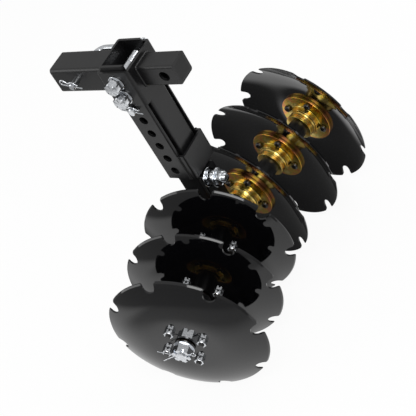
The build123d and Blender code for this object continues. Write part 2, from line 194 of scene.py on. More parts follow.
@dataclass(frozen=True)
class PowderCoat(Finish):
    """Satin black polyester powder coat on welded steel tube, baked on.

    It gives a soft grey sheen on the flat faces, a fine orange-peel ripple and a brighter line where a
    rounded edge turns to the light. The peel is drawn at 1.6 mm, a little coarser than the real 1 mm.
    """

    name: str = "satin_powder_coat"
    colour: str = "#0B0B0C"
    worn_colour: str = "#141415"
    roughness: tuple[float, float] = (0.30, 0.42)
    peel_mm: float = 1.6
    cloud_mm: float = 35.0
    bump_mm: float = 0.05

    def shading(self, tree: bpy.types.NodeTree, place: Any) -> dict[str, Any]:
        """Work out what goes into the shader.

        Args:
            tree: The material's node tree.
            place: The socket of the Object coordinates.

        Returns:
            Values and sockets, by the shader's input names.
        """
        cloud_inputs = {"Vector": place, "Scale": cells_per_metre(self.cloud_mm), "Detail": 4.0}
        cloud = add_node(tree, "ShaderNodeTexNoise", cloud_inputs).outputs["Fac"]
        peel_inputs = {"Vector": place, "Scale": cells_per_metre(self.peel_mm), "Detail": 1.0}
        peel = add_node(tree, "ShaderNodeTexNoise", peel_inputs).outputs["Fac"]
        stops = [(0.35, self.colour), (0.7, self.worn_colour)]
        colour = add_node(tree, "ShaderNodeValToRGB", {"Fac": cloud}, stops)
        low, high = self.roughness
        rough = add_node(tree, "ShaderNodeMapRange", {"Value": cloud, "To Min": low, "To Max": high})
        ripple = {"Height": peel, "Strength": 0.35, "Distance": self.bump_mm * MM}
        bump = add_node(tree, "ShaderNodeBump", ripple)
        return {
            "Base Color": colour.outputs["Color"],
            "Roughness": rough.outputs["Result"],
            "Normal": bump.outputs["Normal"],
            "IOR": 1.5,
        }


@dataclass(frozen=True)
class MouldedPlug(Finish):
    """Black polyethylene end plug, moulded, with a dull slightly grained face."""

    name: str = "moulded_polyethylene"
    colour: str = "#0C0C0C"
    worn_colour: str = "#151515"
    roughness: float = 0.5
    grain_mm: float = 0.9
    bump_mm: float = 0.06

    def shading(self, tree: bpy.types.NodeTree, place: Any) -> dict[str, Any]:
        """Work out what goes into the shader.

        Args:
            tree: The material's node tree.
            place: The socket of the Object coordinates.

        Returns:
            Values and sockets, by the shader's input names.
        """
        grain_inputs = {"Vector": place, "Scale": cells_per_metre(self.grain_mm), "Detail": 2.0}
        grain = add_node(tree, "ShaderNodeTexNoise", grain_inputs).outputs["Fac"]
        relief = {"Height": grain, "Strength": 0.3, "Distance": self.bump_mm * MM}
        bump = add_node(tree, "ShaderNodeBump", relief)
        stops = [(0.3, self.colour), (0.8, self.worn_colour)]
        colour = add_node(tree, "ShaderNodeValToRGB", {"Fac": grain}, stops)
        return {
            "Base Color": colour.outputs["Color"],
            "Roughness": self.roughness,
            "Normal": bump.outputs["Normal"],
        }


@dataclass(frozen=True)
class GlossEnamel(Finish):
    """Gloss black baked enamel over pressed boron steel, sprayed thick.

    It gives an almost mirror-like black that shows the next blade and the gold of the hubs, with a very faint
    waviness from the pressed plate under it.
    """

    name: str = "gloss_black_enamel"
    colour: str = "#050506"
    mist_colour: str = "#08080A"
    roughness: tuple[float, float] = (0.03, 0.08)
    wave_mm: float = 45.0
    wave_height_mm: float = 0.10
    mist_mm: float = 3.0

    def shading(self, tree: bpy.types.NodeTree, place: Any) -> dict[str, Any]:
        """Work out what goes into the shader.

        Args:
            tree: The material's node tree.
            place: The socket of the Object coordinates.

        Returns:
            Values and sockets, by the shader's input names.
        """
        wave_inputs = {"Vector": place, "Scale": cells_per_metre(self.wave_mm), "Detail": 1.0}
        wave = add_node(tree, "ShaderNodeTexNoise", wave_inputs).outputs["Fac"]
        mist_inputs = {"Vector": place, "Scale": cells_per_metre(self.mist_mm), "Detail": 3.0}
        mist = add_node(tree, "ShaderNodeTexNoise", mist_inputs).outputs["Fac"]
        low, high = self.roughness
        rough = add_node(tree, "ShaderNodeMapRange", {"Value": mist, "To Min": low, "To Max": high})
        relief = {"Height": wave, "Strength": 0.25, "Distance": self.wave_height_mm * MM}
        bump = add_node(tree, "ShaderNodeBump", relief)
        stops = [(0.3, self.colour), (0.75, self.mist_colour)]
        colour = add_node(tree, "ShaderNodeValToRGB", {"Fac": mist}, stops)
        return {
            "Base Color": colour.outputs["Color"],
            "Roughness": rough.outputs["Result"],
            "Normal": bump.outputs["Normal"],
            "IOR": 1.52,
        }


@dataclass(frozen=True, kw_only=True)
class YellowZinc(Finish):
    """Yellow chromate passivated zinc plate over turned steel, dipped, for the hubs of one gang.

    It gives a bright gold metal that shifts to olive and rose in soft clouds and bands, over the fine rings
    that the lathe left, and a dark brown inside a radius of about 22 mm, where the pilot meets the axle's
    washer. The rings are drawn 1.4 mm apart, coarser than the real feed of 0.2 mm. Rings and bands lie
    square to the gang's axle.
    """

    apex: tuple[float, float, float]
    outward_angle: float
    gold: str = "#DCAA40"
    olive: str = "#B9A646"
    rose: str = "#D68A58"
    pale: str = "#E2C878"
    inner_dark: str = "#1B1713"
    roughness: tuple[float, float] = (0.17, 0.30)
    cloud_mm: float = 16.0
    ring_mm: float = 1.4
    ring_depth_mm: float = 0.02
    band_radii: tuple[float, float] = (0.030, 0.0685)
    band_shift: tuple[float, float] = (-0.14, 0.17)
    inner_dark_radii: tuple[float, float] = (0.0222, 0.0236)

    def from_axle(self, tree: bpy.types.NodeTree, place: Any) -> Any:
        """Work out how far each point lies from the axle line.

        The point is turned into the gang's own directions, and the length of its two parts that are square to
        the axle is its radius.

        Args:
            tree: The material's node tree.
            place: The socket of the Object coordinates.

        Returns:
            The socket of the radius.
        """
        turn = {"Vector": place, "Location": self.apex, "Rotation": (0.0, 0.0, self.outward_angle)}
        turned = add_node(tree, "ShaderNodeMapping", turn, vector_type="TEXTURE")
        parts = add_node(tree, "ShaderNodeSeparateXYZ", {"Vector": turned.outputs["Vector"]}).outputs
        flat = add_node(tree, "ShaderNodeCombineXYZ", {"Y": parts["Y"], "Z": parts["Z"]})
        length = add_node(tree, "ShaderNodeVectorMath", {0: flat.outputs["Vector"]}, operation="LENGTH")
        return length.outputs["Value"]

    def shading(self, tree: bpy.types.NodeTree, place: Any) -> dict[str, Any]:
        """Work out what goes into the shader.

        Args:
            tree: The material's node tree.
            place: The socket of the Object coordinates.

        Returns:
            Values and sockets, by the shader's input names.
        """
        radius = self.from_axle(tree, place)
        turns = {0: radius, 1: FULL_TURN / (self.ring_mm * MM)}
        rings = add_node(tree, "ShaderNodeMath", turns, operation="MULTIPLY")
        wave = add_node(tree, "ShaderNodeMath", {0: rings.outputs["Value"]}, operation="SINE")
        cloud_inputs = {"Vector": place, "Scale": cells_per_metre(self.cloud_mm), "Detail": 3.0}
        cloud = add_node(tree, "ShaderNodeTexNoise", cloud_inputs | {"Roughness": 0.55}).outputs["Fac"]
        (inner, outer), (less, more) = self.band_radii, self.band_shift
        banding = {"Value": radius, "From Min": inner, "From Max": outer, "To Min": less, "To Max": more}
        band = add_node(tree, "ShaderNodeMapRange", banding)
        mixed = add_node(tree, "ShaderNodeMath", {0: cloud, 1: band.outputs["Result"]}, operation="ADD")
        stops = [(0.28, self.gold), (0.42, self.pale), (0.52, self.olive)]
        stops += [(0.62, self.gold), (0.74, self.rose)]
        plate = add_node(tree, "ShaderNodeValToRGB", {"Fac": mixed.outputs["Value"]}, stops)
        # Dark brown inside a radius of about 22 mm, on the pilot and the middle of the neck's end, blended
        # into the plate by 23.6 mm
        inner, outer = self.inner_dark_radii
        plate_share = add_node(tree, "ShaderNodeMapRange", {"Value": radius, "From Min": inner, "From Max": outer})
        layers = {0: plate_share.outputs["Result"], 6: linear(self.inner_dark), 7: plate.outputs["Color"]}
        tint = add_node(tree, "ShaderNodeMix", layers, data_type="RGBA")
        low, high = self.roughness
        rough = add_node(tree, "ShaderNodeMapRange", {"Value": cloud, "To Min": low, "To Max": high})
        relief = {"Height": wave.outputs["Value"], "Strength": 0.08, "Distance": self.ring_depth_mm * MM}
        bump = add_node(tree, "ShaderNodeBump", relief)
        return {
            "Base Color": tint.outputs[2],
            "Metallic": 1.0,
            "Roughness": rough.outputs["Result"],
            "Normal": bump.outputs["Normal"],
        }


@dataclass(frozen=True)
class BrightZinc(Finish):
    """Clear passivated bright zinc plate on forged and drawn steel, barrel plated.

    It gives a cool near-white metal with small dull patches where the pieces tumbled together.
    """

    name: str = "bright_zinc_plate"
    colour: str = "#E3E5E8"
    dull_colour: str = "#B9BDC2"
    roughness: tuple[float, float] = (0.08, 0.24)
    patch_mm: float = 4.0
    bump_mm: float = 0.08

    def shading(self, tree: bpy.types.NodeTree, place: Any) -> dict[str, Any]:
        """Work out what goes into the shader.

        Args:
            tree: The material's node tree.
            place: The socket of the Object coordinates.

        Returns:
            Values and sockets, by the shader's input names.
        """
        patch_inputs = {"Vector": place, "Scale": cells_per_metre(self.patch_mm), "Detail": 4.0}
        patch = add_node(tree, "ShaderNodeTexNoise", patch_inputs).outputs["Fac"]
        stops = [(0.35, self.colour), (0.75, self.dull_colour)]
        colour = add_node(tree, "ShaderNodeValToRGB", {"Fac": patch}, stops)
        low, high = self.roughness
        rough = add_node(tree, "ShaderNodeMapRange", {"Value": patch, "To Min": low, "To Max": high})
        relief = {"Height": patch, "Strength": 0.12, "Distance": self.bump_mm * MM}
        bump = add_node(tree, "ShaderNodeBump", relief)
        return {
            "Base Color": colour.outputs["Color"],
            "Metallic": 1.0,
            "Roughness": rough.outputs["Result"],
            "Normal": bump.outputs["Normal"],
        }


@dataclass(frozen=True)
class BlackOxide(Finish):
    """Black oxide on cold-headed alloy steel bolts, dipped hot and oiled.

    It gives a deep black with a soft oily shine and a trace of brown.
    """

    name: str = "black_oxide"
    colour: str = "#0A0A0B"
    brown: str = "#15110F"
    roughness: tuple[float, float] = (0.22, 0.36)
    patch_mm: float = 3.0

    def shading(self, tree: bpy.types.NodeTree, place: Any) -> dict[str, Any]:
        """Work out what goes into the shader.

        Args:
            tree: The material's node tree.
            place: The socket of the Object coordinates.

        Returns:
            Values and sockets, by the shader's input names.
        """
        patch_inputs = {"Vector": place, "Scale": cells_per_metre(self.patch_mm), "Detail": 3.0}
        patch = add_node(tree, "ShaderNodeTexNoise", patch_inputs).outputs["Fac"]
        stops = [(0.4, self.colour), (0.75, self.brown)]
        colour = add_node(tree, "ShaderNodeValToRGB", {"Fac": patch}, stops)
        low, high = self.roughness
        rough = add_node(tree, "ShaderNodeMapRange", {"Value": patch, "To Min": low, "To Max": high})
        return {"Base Color": colour.outputs["Color"], "Roughness": rough.outputs["Result"], "IOR": 1.6}


@dataclass
class Patch:
    """A surface given as a grid of points over two parameters.

    Attributes:
        points: Array of shape (first steps, second steps, 3).
        closed: Whether the first and the second parameter run round and meet.
    """

    points: np.ndarray
    closed: tuple[bool, bool] = (True, False)

    def faces(self, offset: int) -> np.ndarray:
        """Return the quads of the grid as an array of vertex numbers.

        Each quad joins a grid point to its neighbours at one more step of the first, of both and of the
        second parameter, and the steps wrap round where the parameter is closed.

        Args:
            offset: The number of the patch's first vertex in its mesh.

        Returns:
            Array of shape (quads, 4).
        """
        rows, columns = self.points.shape[:2]
        i = np.arange(rows if self.closed[0] else rows - 1)[:, None]
        j = np.arange(columns if self.closed[1] else columns - 1)[None, :]
        i_next, j_next = (i + 1) % rows, (j + 1) % columns
        corners = [i * columns + j, i_next * columns + j, i_next * columns + j_next, i * columns + j_next]
        return np.stack(np.broadcast_arrays(*corners), axis=-1).reshape(-1, 4) + offset


def make_piece(
    name: str,
    patches: list[Patch],
    material: bpy.types.Material,
    body: str,
    sharp_degrees: float = 35.0,
) -> bpy.types.Object:
    """Make one piece from its patches, with closed seams and outward faces.

    Args:
        name: The piece's name.
        patches: Its surfaces, in the frame's own place.
        material: Its finish.
        body: The CAD body that it rides on.
        sharp_degrees: Edges that turn by more than this stay sharp.

    Returns:
        The new object, riding on its body.
    """
    offsets = np.cumsum([0] + [patch.points.shape[0] * patch.points.shape[1] for patch in patches])
    points = np.concatenate([patch.points.reshape(-1, 3) for patch in patches])
    quads = np.concatenate([patch.faces(int(start)) for patch, start in zip(patches, offsets)])
    mesh = bpy.data.meshes.new(name)
    mesh.from_pydata(points.tolist(), [], quads.tolist())
    shell = bmesh.new()
    shell.from_mesh(mesh)
    bmesh.ops.remove_doubles(shell, verts=shell.verts, dist=1e-6)
    bmesh.ops.recalc_face_normals(shell, faces=shell.faces)
    shell.to_mesh(mesh)
    shell.free()
    mesh.validate()
    mesh.shade_smooth()
    mesh.set_sharp_from_angle(angle=math.radians(sharp_degrees))
    mesh.materials.append(material)
    piece = bpy.data.objects.new(name, mesh)
    bpy.context.scene.collection.objects.link(piece)
    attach(piece, body)
    log.info("%s: %d faces on %s", name, len(mesh.polygons), body)
    return piece


@dataclass(frozen=True)
class AxisFrame:
    """A line with two directions square to it, on which turned pieces are set out."""

    origin: np.ndarray
    axis: np.ndarray
    across: np.ndarray
    up: np.ndarray

    @classmethod
    def along(cls, origin: Any, axis: Any, up: Any = (0.0, 0.0, 1.0)) -> AxisFrame:
        """Build the frame from a point, a direction and a rough upward direction.

        Args:
            origin: A point of the line.
            axis: The line's direction.
            up: A direction that isn't along the line.

        Returns:
            The frame, with its directions at unit length.
        """
        axis = np.array(axis, float) / np.linalg.norm(axis)
        rough = np.array(up, float)
        up = rough - axis * (rough @ axis)
        up /= np.linalg.norm(up)
        return cls(np.array(origin, float), axis, np.cross(up, axis), up)

    def moved(self, radius: float, angle: float, distance: float = 0.0) -> AxisFrame:
        """Return a parallel frame at a radius, an angle from across towards up, and a distance along."""
        offset = radius * (math.cos(angle) * self.across + math.sin(angle) * self.up)
        return AxisFrame(self.origin + offset + self.axis * distance, self.axis, self.across, self.up)

    def points(self, radius: np.ndarray, angle: np.ndarray, distance: np.ndarray) -> np.ndarray:
        """Place cylindrical coordinates round the line.

        The point is the origin plus the distance along the axis plus the radius times the direction at the
        angle, which turns from across towards up.

        Args:
            radius: Radii, of any shape.
            angle: Angles in radians.
            distance: Distances along the axis.

        Returns:
            Points, with one more dimension of length 3.
        """
        radius, angle, distance = np.broadcast_arrays(radius, angle, distance)
        round_part = np.cos(angle)[..., None] * self.across + np.sin(angle)[..., None] * self.up
        return self.origin + distance[..., None] * self.axis + radius[..., None] * round_part


def lathe(
    frame: AxisFrame, profile: list[tuple[float, float]], steps: int = 64, closed: bool = False
) -> Patch:
    """Turn a profile of radii and distances round a frame's axis.

    Args:
        frame: The axis.
        profile: Radius and distance along the axis of each profile point.
        steps: How many steps there are round the axis.
        closed: Whether the last profile point joins the first.

    Returns:
        The turned surface.
    """
    radius, distance = np.array(profile, float).T
    angle = np.linspace(0, FULL_TURN, steps, endpoint=False)[:, None]
    return Patch(frame.points(radius[None, :], angle, distance[None, :]), (True, closed))


def hexagon(
    frame: AxisFrame, profile: list[tuple[float, float]], flats: float, closed: bool = False, steps: int = 72
) -> Patch:
    """Turn a profile and cut it to a hexagon, as a nut is milled from a turned blank.

    The radius at an angle is the smaller of the profile's own radius and that of a hexagon, which is half the
    width across flats over the cosine of the angle from the middle of the nearest flat.

    Args:
        frame: The axis.
        profile: Radius and distance of each point of the turned blank.
        flats: Width across flats.
        closed: Whether the last profile point joins the first.
        steps: How many steps there are round the axis, a multiple of 12.

    Returns:
        The cut surface.
    """
    radius, distance = np.array(profile, float).T
    angle = np.linspace(0, FULL_TURN, steps, endpoint=False)[:, None]
    sixth = math.pi / 3
    from_flat = (angle + sixth / 2) % sixth - sixth / 2
    limit = flats / 2 / np.cos(from_flat)
    return Patch(frame.points(np.minimum(radius[None, :], limit), angle, distance[None, :]), (True, closed))


def thread(
    frame: AxisFrame, radius: float, start: float, end: float, pitch: float, depth: float, steps: int = 24
) -> Patch:
    """Cut a helical thread on a round end.

    The radius is the outer one less the depth times a triangle wave of the distance over the pitch minus the
    turn, so the ridge climbs by one pitch a turn. The wave fades out over the last pitch at both ends, and
    the end closes to a point on the axis.

    Args:
        frame: The axis.
        radius: Radius over the thread's crests.
        start: Distance at which the thread begins.
        end: Distance of the closed end.
        pitch: Distance from crest to crest.
        depth: Depth from crest to root.
        steps: How many steps there are round the axis.

    Returns:
        The threaded surface.
    """
    rows = max(int(6 * abs(end - start) / pitch), 8)
    distance = np.linspace(start, end, rows)[None, :]
    turn = np.linspace(0, 1, steps, endpoint=False)[:, None]
    phase = (distance - start) / pitch - turn
    wave = 2 * np.abs(phase - np.floor(phase + 0.5))
    fade = np.clip(np.minimum(np.abs(distance - start), np.abs(end - distance)) / pitch, 0, 1)
    ridge = radius - depth * wave * fade - depth * (1 - np.clip(np.abs(end - distance) / pitch, 0, 1))
    body = frame.points(ridge, turn * FULL_TURN, distance)
    tip = np.broadcast_to(frame.points(np.zeros(1), np.zeros(1), np.array([end])), (steps, 1, 3))
    return Patch(np.concatenate([body, tip], axis=1))


def tube(path: np.ndarray, radius: np.ndarray | float, square_to: Any, steps: int = 12) -> Patch:
    """Carry a circle along an open path.

    The circle stands square to the path's own direction, which is the difference of the neighbouring points,
    and one of its directions is square to a given one.

    Args:
        path: Points of the middle line, of shape (points, 3).
        radius: One radius, or one for each point or each step and point.
        square_to: A direction that the path never runs along.
        steps: How many steps there are round the tube.

    Returns:
        The tube, with closed ends.
    """
    along = np.gradient(path, axis=0)
    along /= np.linalg.norm(along, axis=1, keepdims=True)
    side = np.cross(along, np.array(square_to, float))
    side /= np.linalg.norm(side, axis=1, keepdims=True)
    lift = np.cross(side, along)
    turn = np.linspace(0, FULL_TURN, steps, endpoint=False)[:, None, None]
    ring = np.cos(turn) * side[None] + np.sin(turn) * lift[None]
    size = np.broadcast_to(np.asarray(radius, float), (steps, len(path)))[..., None]
    points = path[None] + ring * size
    ends = [np.broadcast_to(path[k], (steps, 1, 3)) for k in (0, -1)]
    return Patch(np.concatenate([ends[0], points, ends[1]], axis=1))


@dataclass
class Gang:
    """One gang's axle line, read from the joints of its discs."""

    side: Side
    frame: AxisFrame
    hub_bolt_turn: float

    @classmethod
    def from_joints(cls, side: Side, joints: list[dict[str, Any]]) -> Gang:
        """Read the gang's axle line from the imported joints.

        Args:
            side: Which gang it is.
            joints: The frame's joints.

        Returns:
            The gang.
        """
        joint = next(j for j in joints if j["axis"][1] * side.value > 0)
        frame = AxisFrame.along(joint["pos_m"], joint["axis"])
        across = frame.across if frame.across[0] > 0 else -frame.across
        turn = math.radians(HUB_BOLT_DEGREES[side])
        return cls(side, AxisFrame(frame.origin, frame.axis, across, frame.up), turn)

    def outward_angle(self) -> float:
        """Return the angle of the outward direction from +X, seen from above."""
        return math.atan2(self.frame.axis[1], self.frame.axis[0])


@dataclass
class Disc:
    """One disc: its number, its gang, how far out it sits and how its notches are turned."""

    number: int
    gang: Gang
    rim: float
    notch_turn: float

    @property
    def body(self) -> str:
        """Return the CAD body that the disc is."""
        return f"disc_{self.number}"


@dataclass
class Blades:
    """Notched, dished blades of pressed steel."""

    material: bpy.types.Material
    radius: float = 178.5 * MM
    flat_radius: float = 75.0 * MM
    dish: float = 27.0 * MM
    thickness: float = 4.0 * MM
    edge: float = 2.2 * MM
    bevel: float = 2.5 * MM
    bore: float = 22.0 * MM
    notch_count: int = 8
    notch_width: float = 30.0 * MM
    notch_depth: float = 21.0 * MM
    notch_corner: float = 4.4 * MM
    lobe_steps: int = 24
    notch_steps: int = 14
    corner_steps: int = 6
    radial_steps: int = 34

    def dish_radius(self) -> float:
        """Return the radius of the dished curve's arc."""
        reach = self.radius - self.flat_radius
        return (reach**2 + self.dish**2) / (2 * self.dish)

    def height(self, radius: np.ndarray, offset: float) -> np.ndarray:
        """Work out the dish's distance from the rim plane.

        It is the whole dish inside the flat middle, and outside it the circle arc that falls to the rim.

        Args:
            radius: Distances from the axle.
            offset: 0 on the concave face, or the thickness on the convex one.

        Returns:
            The distances along the axle.
        """
        arc = self.dish_radius()
        past = np.maximum(radius - self.flat_radius, 0)
        return self.dish - arc + np.sqrt((arc + offset) ** 2 - past**2)

    def back_height(self, radius: np.ndarray) -> np.ndarray:
        """Work out the convex face's distance, with the ground bevel that thins the rim to its edge.

        Args:
            radius: Distances from the axle.

        Returns:
            The distances along the axle.
        """
        start = self.radius - self.bevel
        share = np.clip((radius - start) / self.bevel, 0, 1)
        top = self.height(np.minimum(radius, start), self.thickness)
        return top + (self.edge - top) * share

    def outline(self, turn: float) -> tuple[np.ndarray, np.ndarray]:
        """Work out the notched rim as radii and angles.

        Each period is a notch, then a lobe of the rim. The notch is a half circle between two outer corners,
        each an arc that touches the notch's wall and the rim from inside, so its middle lies the corner's
        radius beyond the wall and the same short of the rim.

        Args:
            turn: Angle of the first notch's middle, in radians.

        Returns:
            Radii and angles of the outline's points.
        """
        half, corner = self.notch_width / 2, self.notch_corner
        seat = self.radius - self.notch_depth + half
        middle_y = half + corner
        middle_x = math.sqrt((self.radius - corner) ** 2 - middle_y**2)
        touch = math.atan2(middle_y, middle_x)
        bend = np.linspace(-math.pi / 2, touch, self.corner_steps)
        corner_x, corner_y = middle_x + corner * np.cos(bend), middle_y + corner * np.sin(bend)
        swing = np.linspace(math.pi / 2, -math.pi / 2, self.notch_steps + 1)
        x = np.concatenate([corner_x[::-1], seat - half * np.cos(swing), corner_x])
        y = np.concatenate([-corner_y[::-1], -half * np.sin(swing), corner_y])
        share = FULL_TURN / self.notch_count
        lobe = np.linspace(touch, share - touch, self.lobe_steps + 1, endpoint=False)[1:]
        radii = np.concatenate([np.hypot(x, y), np.full(len(lobe), self.radius)])
        angles = np.concatenate([np.arctan2(y, x), lobe])
        starts = turn + share * np.arange(self.notch_count)[:, None]
        return np.tile(radii, self.notch_count), (starts + angles[None, :]).ravel()

    def surface(self, disc: Disc) -> Patch:
        """Work out the closed blade.

        The first parameter runs round the outline. The second runs out over the concave face and back over
        the convex one. A point's radius and angle slide evenly from an inner circle to the outline, and its
        distance along the axle follows from its radius.

        Args:
            disc: The disc that the blade belongs to.

        Returns:
            The blade's surface.
        """
        radii, angles = self.outline(disc.notch_turn)
        count = len(radii)
        even = angles[0] + np.linspace(0, FULL_TURN, count, endpoint=False)
        bevel_start = 1 - self.bevel / (self.radius - self.bore)
        share = np.concatenate([np.linspace(0, bevel_start, self.radial_steps), [(1 + bevel_start) / 2, 1.0]])
        radius = self.bore + (radii[:, None] - self.bore) * share[None, :]
        angle = even[:, None] + (angles - even)[:, None] * (share**2)[None, :]
        front = disc.gang.frame.points(radius, angle, disc.rim + self.height(radius, 0.0))
        back = disc.gang.frame.points(radius, angle, disc.rim + self.back_height(radius))
        return Patch(np.concatenate([front, back[:, ::-1]], axis=1), (True, True))

    def build(self, disc: Disc) -> None:
        """Build one blade in place of its CAD node.

        Args:
            disc: The disc that it belongs to.
        """
        name = f"blade_shell_{disc.number}"
        piece = make_piece(name, [self.surface(disc)], self.material, disc.body, 20.0)
        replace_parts(piece, f"blade_{disc.number}")


@dataclass
class Hubs:
    """Turned four-bolt hubs, each with a flange, a step and a ringed neck."""

    materials: dict[Side, bpy.types.Material]
    seat: float = 27.0 * MM
    flange_radius: float = 68.5 * MM
    flange_thickness: float = 8.0 * MM
    step_radius: float = 40.0 * MM
    step_height: float = 14.0 * MM
    neck_radius: float = 35.0 * MM
    neck_height: float = 18.0 * MM
    pilot_radius: float = 22.0 * MM
    pilot_end: float = 34.0 * MM
    bore: float = 12.75 * MM
    ring_pitch: float = 5.0 * MM
    ring_section: tuple[tuple[float, float], ...] = (
        (0.0, 2.4 * MM),
        (0.5 * MM, 2.9 * MM),
        (2.0 * MM, 3.3 * MM),
        (2.0 * MM, 4.4 * MM),
        (0.5 * MM, 4.8 * MM),
    )
    round_edge: float = 1.2 * MM
    root: float = 3.0 * MM
    steps: int = 120

    def profile(self, rim: float) -> list[tuple[float, float]]:
        """Give the hub's turned section.

        It starts at the bore on the neck's end and runs over two rings, the step with a rounded root, the
        flange and the pilot, back to the bore.

        Args:
            rim: How far out the disc sits.

        Returns:
            Radius and distance of each point.
        """
        flange = rim + self.seat - self.flange_thickness
        step = flange - self.step_height
        neck = step - self.neck_height
        edge = self.round_edge
        points = [(self.bore, neck), (self.neck_radius - edge, neck)]
        points += [(self.neck_radius - edge * 0.3, neck + edge * 0.3)]
        for ring in (0, 1):
            base = neck + ring * self.ring_pitch
            points += [(self.neck_radius, base + edge)]
            points += [(self.neck_radius - sunk, base + reach) for sunk, reach in self.ring_section]
        points += [
            (self.neck_radius, neck + 2 * self.ring_pitch + edge),
            (self.neck_radius, step - 0.4 * MM),
            (self.neck_radius + 0.4 * MM, step),
        ]
        points += rounded_corner(self.step_radius, step, edge, 90)
        points += [(self.step_radius, flange - self.root)]
        points += hollow_corner(self.step_radius, flange, self.root)
        points += rounded_corner(self.flange_radius, flange, edge, 90)
        points += rounded_corner(self.flange_radius, rim + self.seat, edge * 0.5, 0, back=True)
        points += [(self.pilot_radius, rim + self.seat)]
        points += [(self.pilot_radius, rim + self.pilot_end - edge)]
        points += [(self.pilot_radius - edge, rim + self.pilot_end), (self.bore, rim + self.pilot_end)]
        return points

    def build(self, disc: Disc) -> None:
        """Build one hub in place of its CAD node.

        Args:
            disc: The disc that it belongs to.
        """
        surface = lathe(disc.gang.frame, self.profile(disc.rim), self.steps, closed=True)
        material = self.materials[disc.gang.side]
        piece = make_piece(f"hub_turning_{disc.number}", [surface], material, disc.body, 50.0)
        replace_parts(piece, f"hub_{disc.number}")


def rounded_corner(
    radius: float, distance: float, edge: float, start: float, back: bool = False, steps: int = 4
) -> list[tuple[float, float]]:
    """Give an outer corner of a turned section as a quarter circle.

    Args:
        radius: The outer radius.
        distance: The face's distance along the axis.
        edge: The corner's radius.
        start: Angle at which the quarter starts, 90 from a face that looks back along the axis.
        back: Whether the body lies before the face instead of behind it.
        steps: How many steps the quarter has.

    Returns:
        Radius and distance of each point.
    """
    angles = np.radians(np.linspace(start, 90 - start, steps + 1))
    sign = -1 if back else 1
    centre = distance + sign * edge
    return [(radius - edge + edge * math.cos(a), centre - sign * edge * math.sin(a)) for a in angles]


def hollow_corner(radius: float, distance: float, root: float, steps: int = 5) -> list[tuple[float, float]]:
    """Give the filleted root between a step and a face ahead of it.

    Args:
        radius: The step's radius.
        distance: The face's distance along the axis.
        root: The fillet's radius.
        steps: How many steps the quarter has.

    Returns:
        Radius and distance of each point.
    """
    angles = np.radians(np.linspace(0, 90, steps + 1))
    return [
        (radius + root - root * math.cos(a), distance - root + root * math.sin(a)) for a in angles
    ]


@dataclass
class HubFasteners:
    """The four bolts of each hub, with black round heads and bright nuts on the convex side."""

    bolt_material: bpy.types.Material
    nut_material: bpy.types.Material
    pitch_radius: float = 50.8 * MM
    count: int = 4
    head_radius: float = 9.0 * MM
    head_height: float = 7.0 * MM
    flange: float = 19.0 * MM
    nut_seat: float = 31.0 * MM
    nut_flats: float = 19.0 * MM
    nut_height: float = 11.0 * MM
    bolt_radius: float = 6.0 * MM
    bolt_clearance: float = 0.05 * MM
    countersink: float = 1.2 * MM
    tail: float = 5.0 * MM
    pitch: float = 1.75 * MM
    thread_depth: float = 0.9 * MM
    socket_radius: float = 4.2 * MM
    socket_depth: float = 3.6 * MM
    dome: tuple[tuple[float, float], ...] = ((0.86, 0.8), (0.97, 0.5), (1.0, 0.18))

    def bolt(self, frame: AxisFrame) -> list[Patch]:
        """Turn a bolt's domed head with a socket, and its threaded end.

        Args:
            frame: The bolt's axis, from the blade's rim plane.

        Returns:
            The head and the end.
        """
        outer, height, base = self.head_radius, self.head_height, self.flange
        socket, socket_depth = self.socket_radius, self.socket_depth
        head = [
            (0, base - height + socket_depth),
            (socket, base - height + socket_depth),
            (socket, base - height + 0.2 * MM),
            (socket + 0.4 * MM, base - height),
            (outer * 0.62, base - height + 0.1 * MM),
            *[(outer * across, base - height * above) for across, above in self.dome],
            (outer, base),
            (0, base),
        ]
        tip = self.nut_seat + self.nut_height + self.tail
        end = thread(frame, self.bolt_radius, self.nut_seat, tip, self.pitch, self.thread_depth)
        return [lathe(frame, head, 36), end]

    def nut(self, frame: AxisFrame) -> Patch:
        """Mill a nut with cut corners and a countersunk bore.

        Args:
            frame: The bolt's axis, from the blade's rim plane.

        Returns:
            The nut.
        """
        seat, top = self.nut_seat, self.nut_seat + self.nut_height
        corner = self.nut_flats / 2 / math.cos(math.pi / 6)
        face = self.nut_flats / 2 * 0.95
        bore = self.bolt_radius + self.bolt_clearance
        drop = (corner - face) * 0.5
        blank = [
            (bore, seat),
            (face, seat),
            (corner, seat + drop),
            (corner, top - drop),
            (face, top),
            (bore + self.countersink, top),
            (bore, top - self.countersink),
        ]
        return hexagon(frame, blank, self.nut_flats, closed=True, steps=48)

    def build(self, disc: Disc) -> None:
        """Build one hub's bolts and nuts in place of their CAD node.

        Args:
            disc: The disc that it belongs to.
        """
        frames = []
        for index in range(self.count):
            turn = disc.gang.hub_bolt_turn + FULL_TURN * index / self.count
            frames.append(disc.gang.frame.moved(self.pitch_radius, turn, disc.rim))
        bolts = [patch for frame in frames for patch in self.bolt(frame)]
        nuts = [self.nut(frame) for frame in frames]
        node = f"hub_bolts_{disc.number}"
        screws = make_piece(f"hub_screws_{disc.number}", bolts, self.bolt_material, disc.body)
        bright = make_piece(f"hub_nuts_{disc.number}", nuts, self.nut_material, disc.body)
        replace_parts(screws, node)
        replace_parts(bright, node)


def hex_blank(low: float, high: float, flats: float, both_ends: bool) -> list[tuple[float, float]]:
    """Give the turned blank of a hexagon head or nut, with its corners cut at 30 degrees.

    Args:
        low: Distance of the seat.
        high: Distance of the free face.
        flats: Width across flats.
        both_ends: Whether the seat's corners are cut too.

    Returns:
        Radius and distance of each point, from the seat to the free face.
    """
    corner = flats / 2 / math.cos(math.pi / 6)
    face = flats / 2 * 0.94
    drop = math.copysign((corner - face) * math.tan(math.radians(30)), high - low)
    start = [(face, low), (corner, low + drop)] if both_ends else [(corner, low)]
    return [*start, (corner, high - drop), (face, high)]


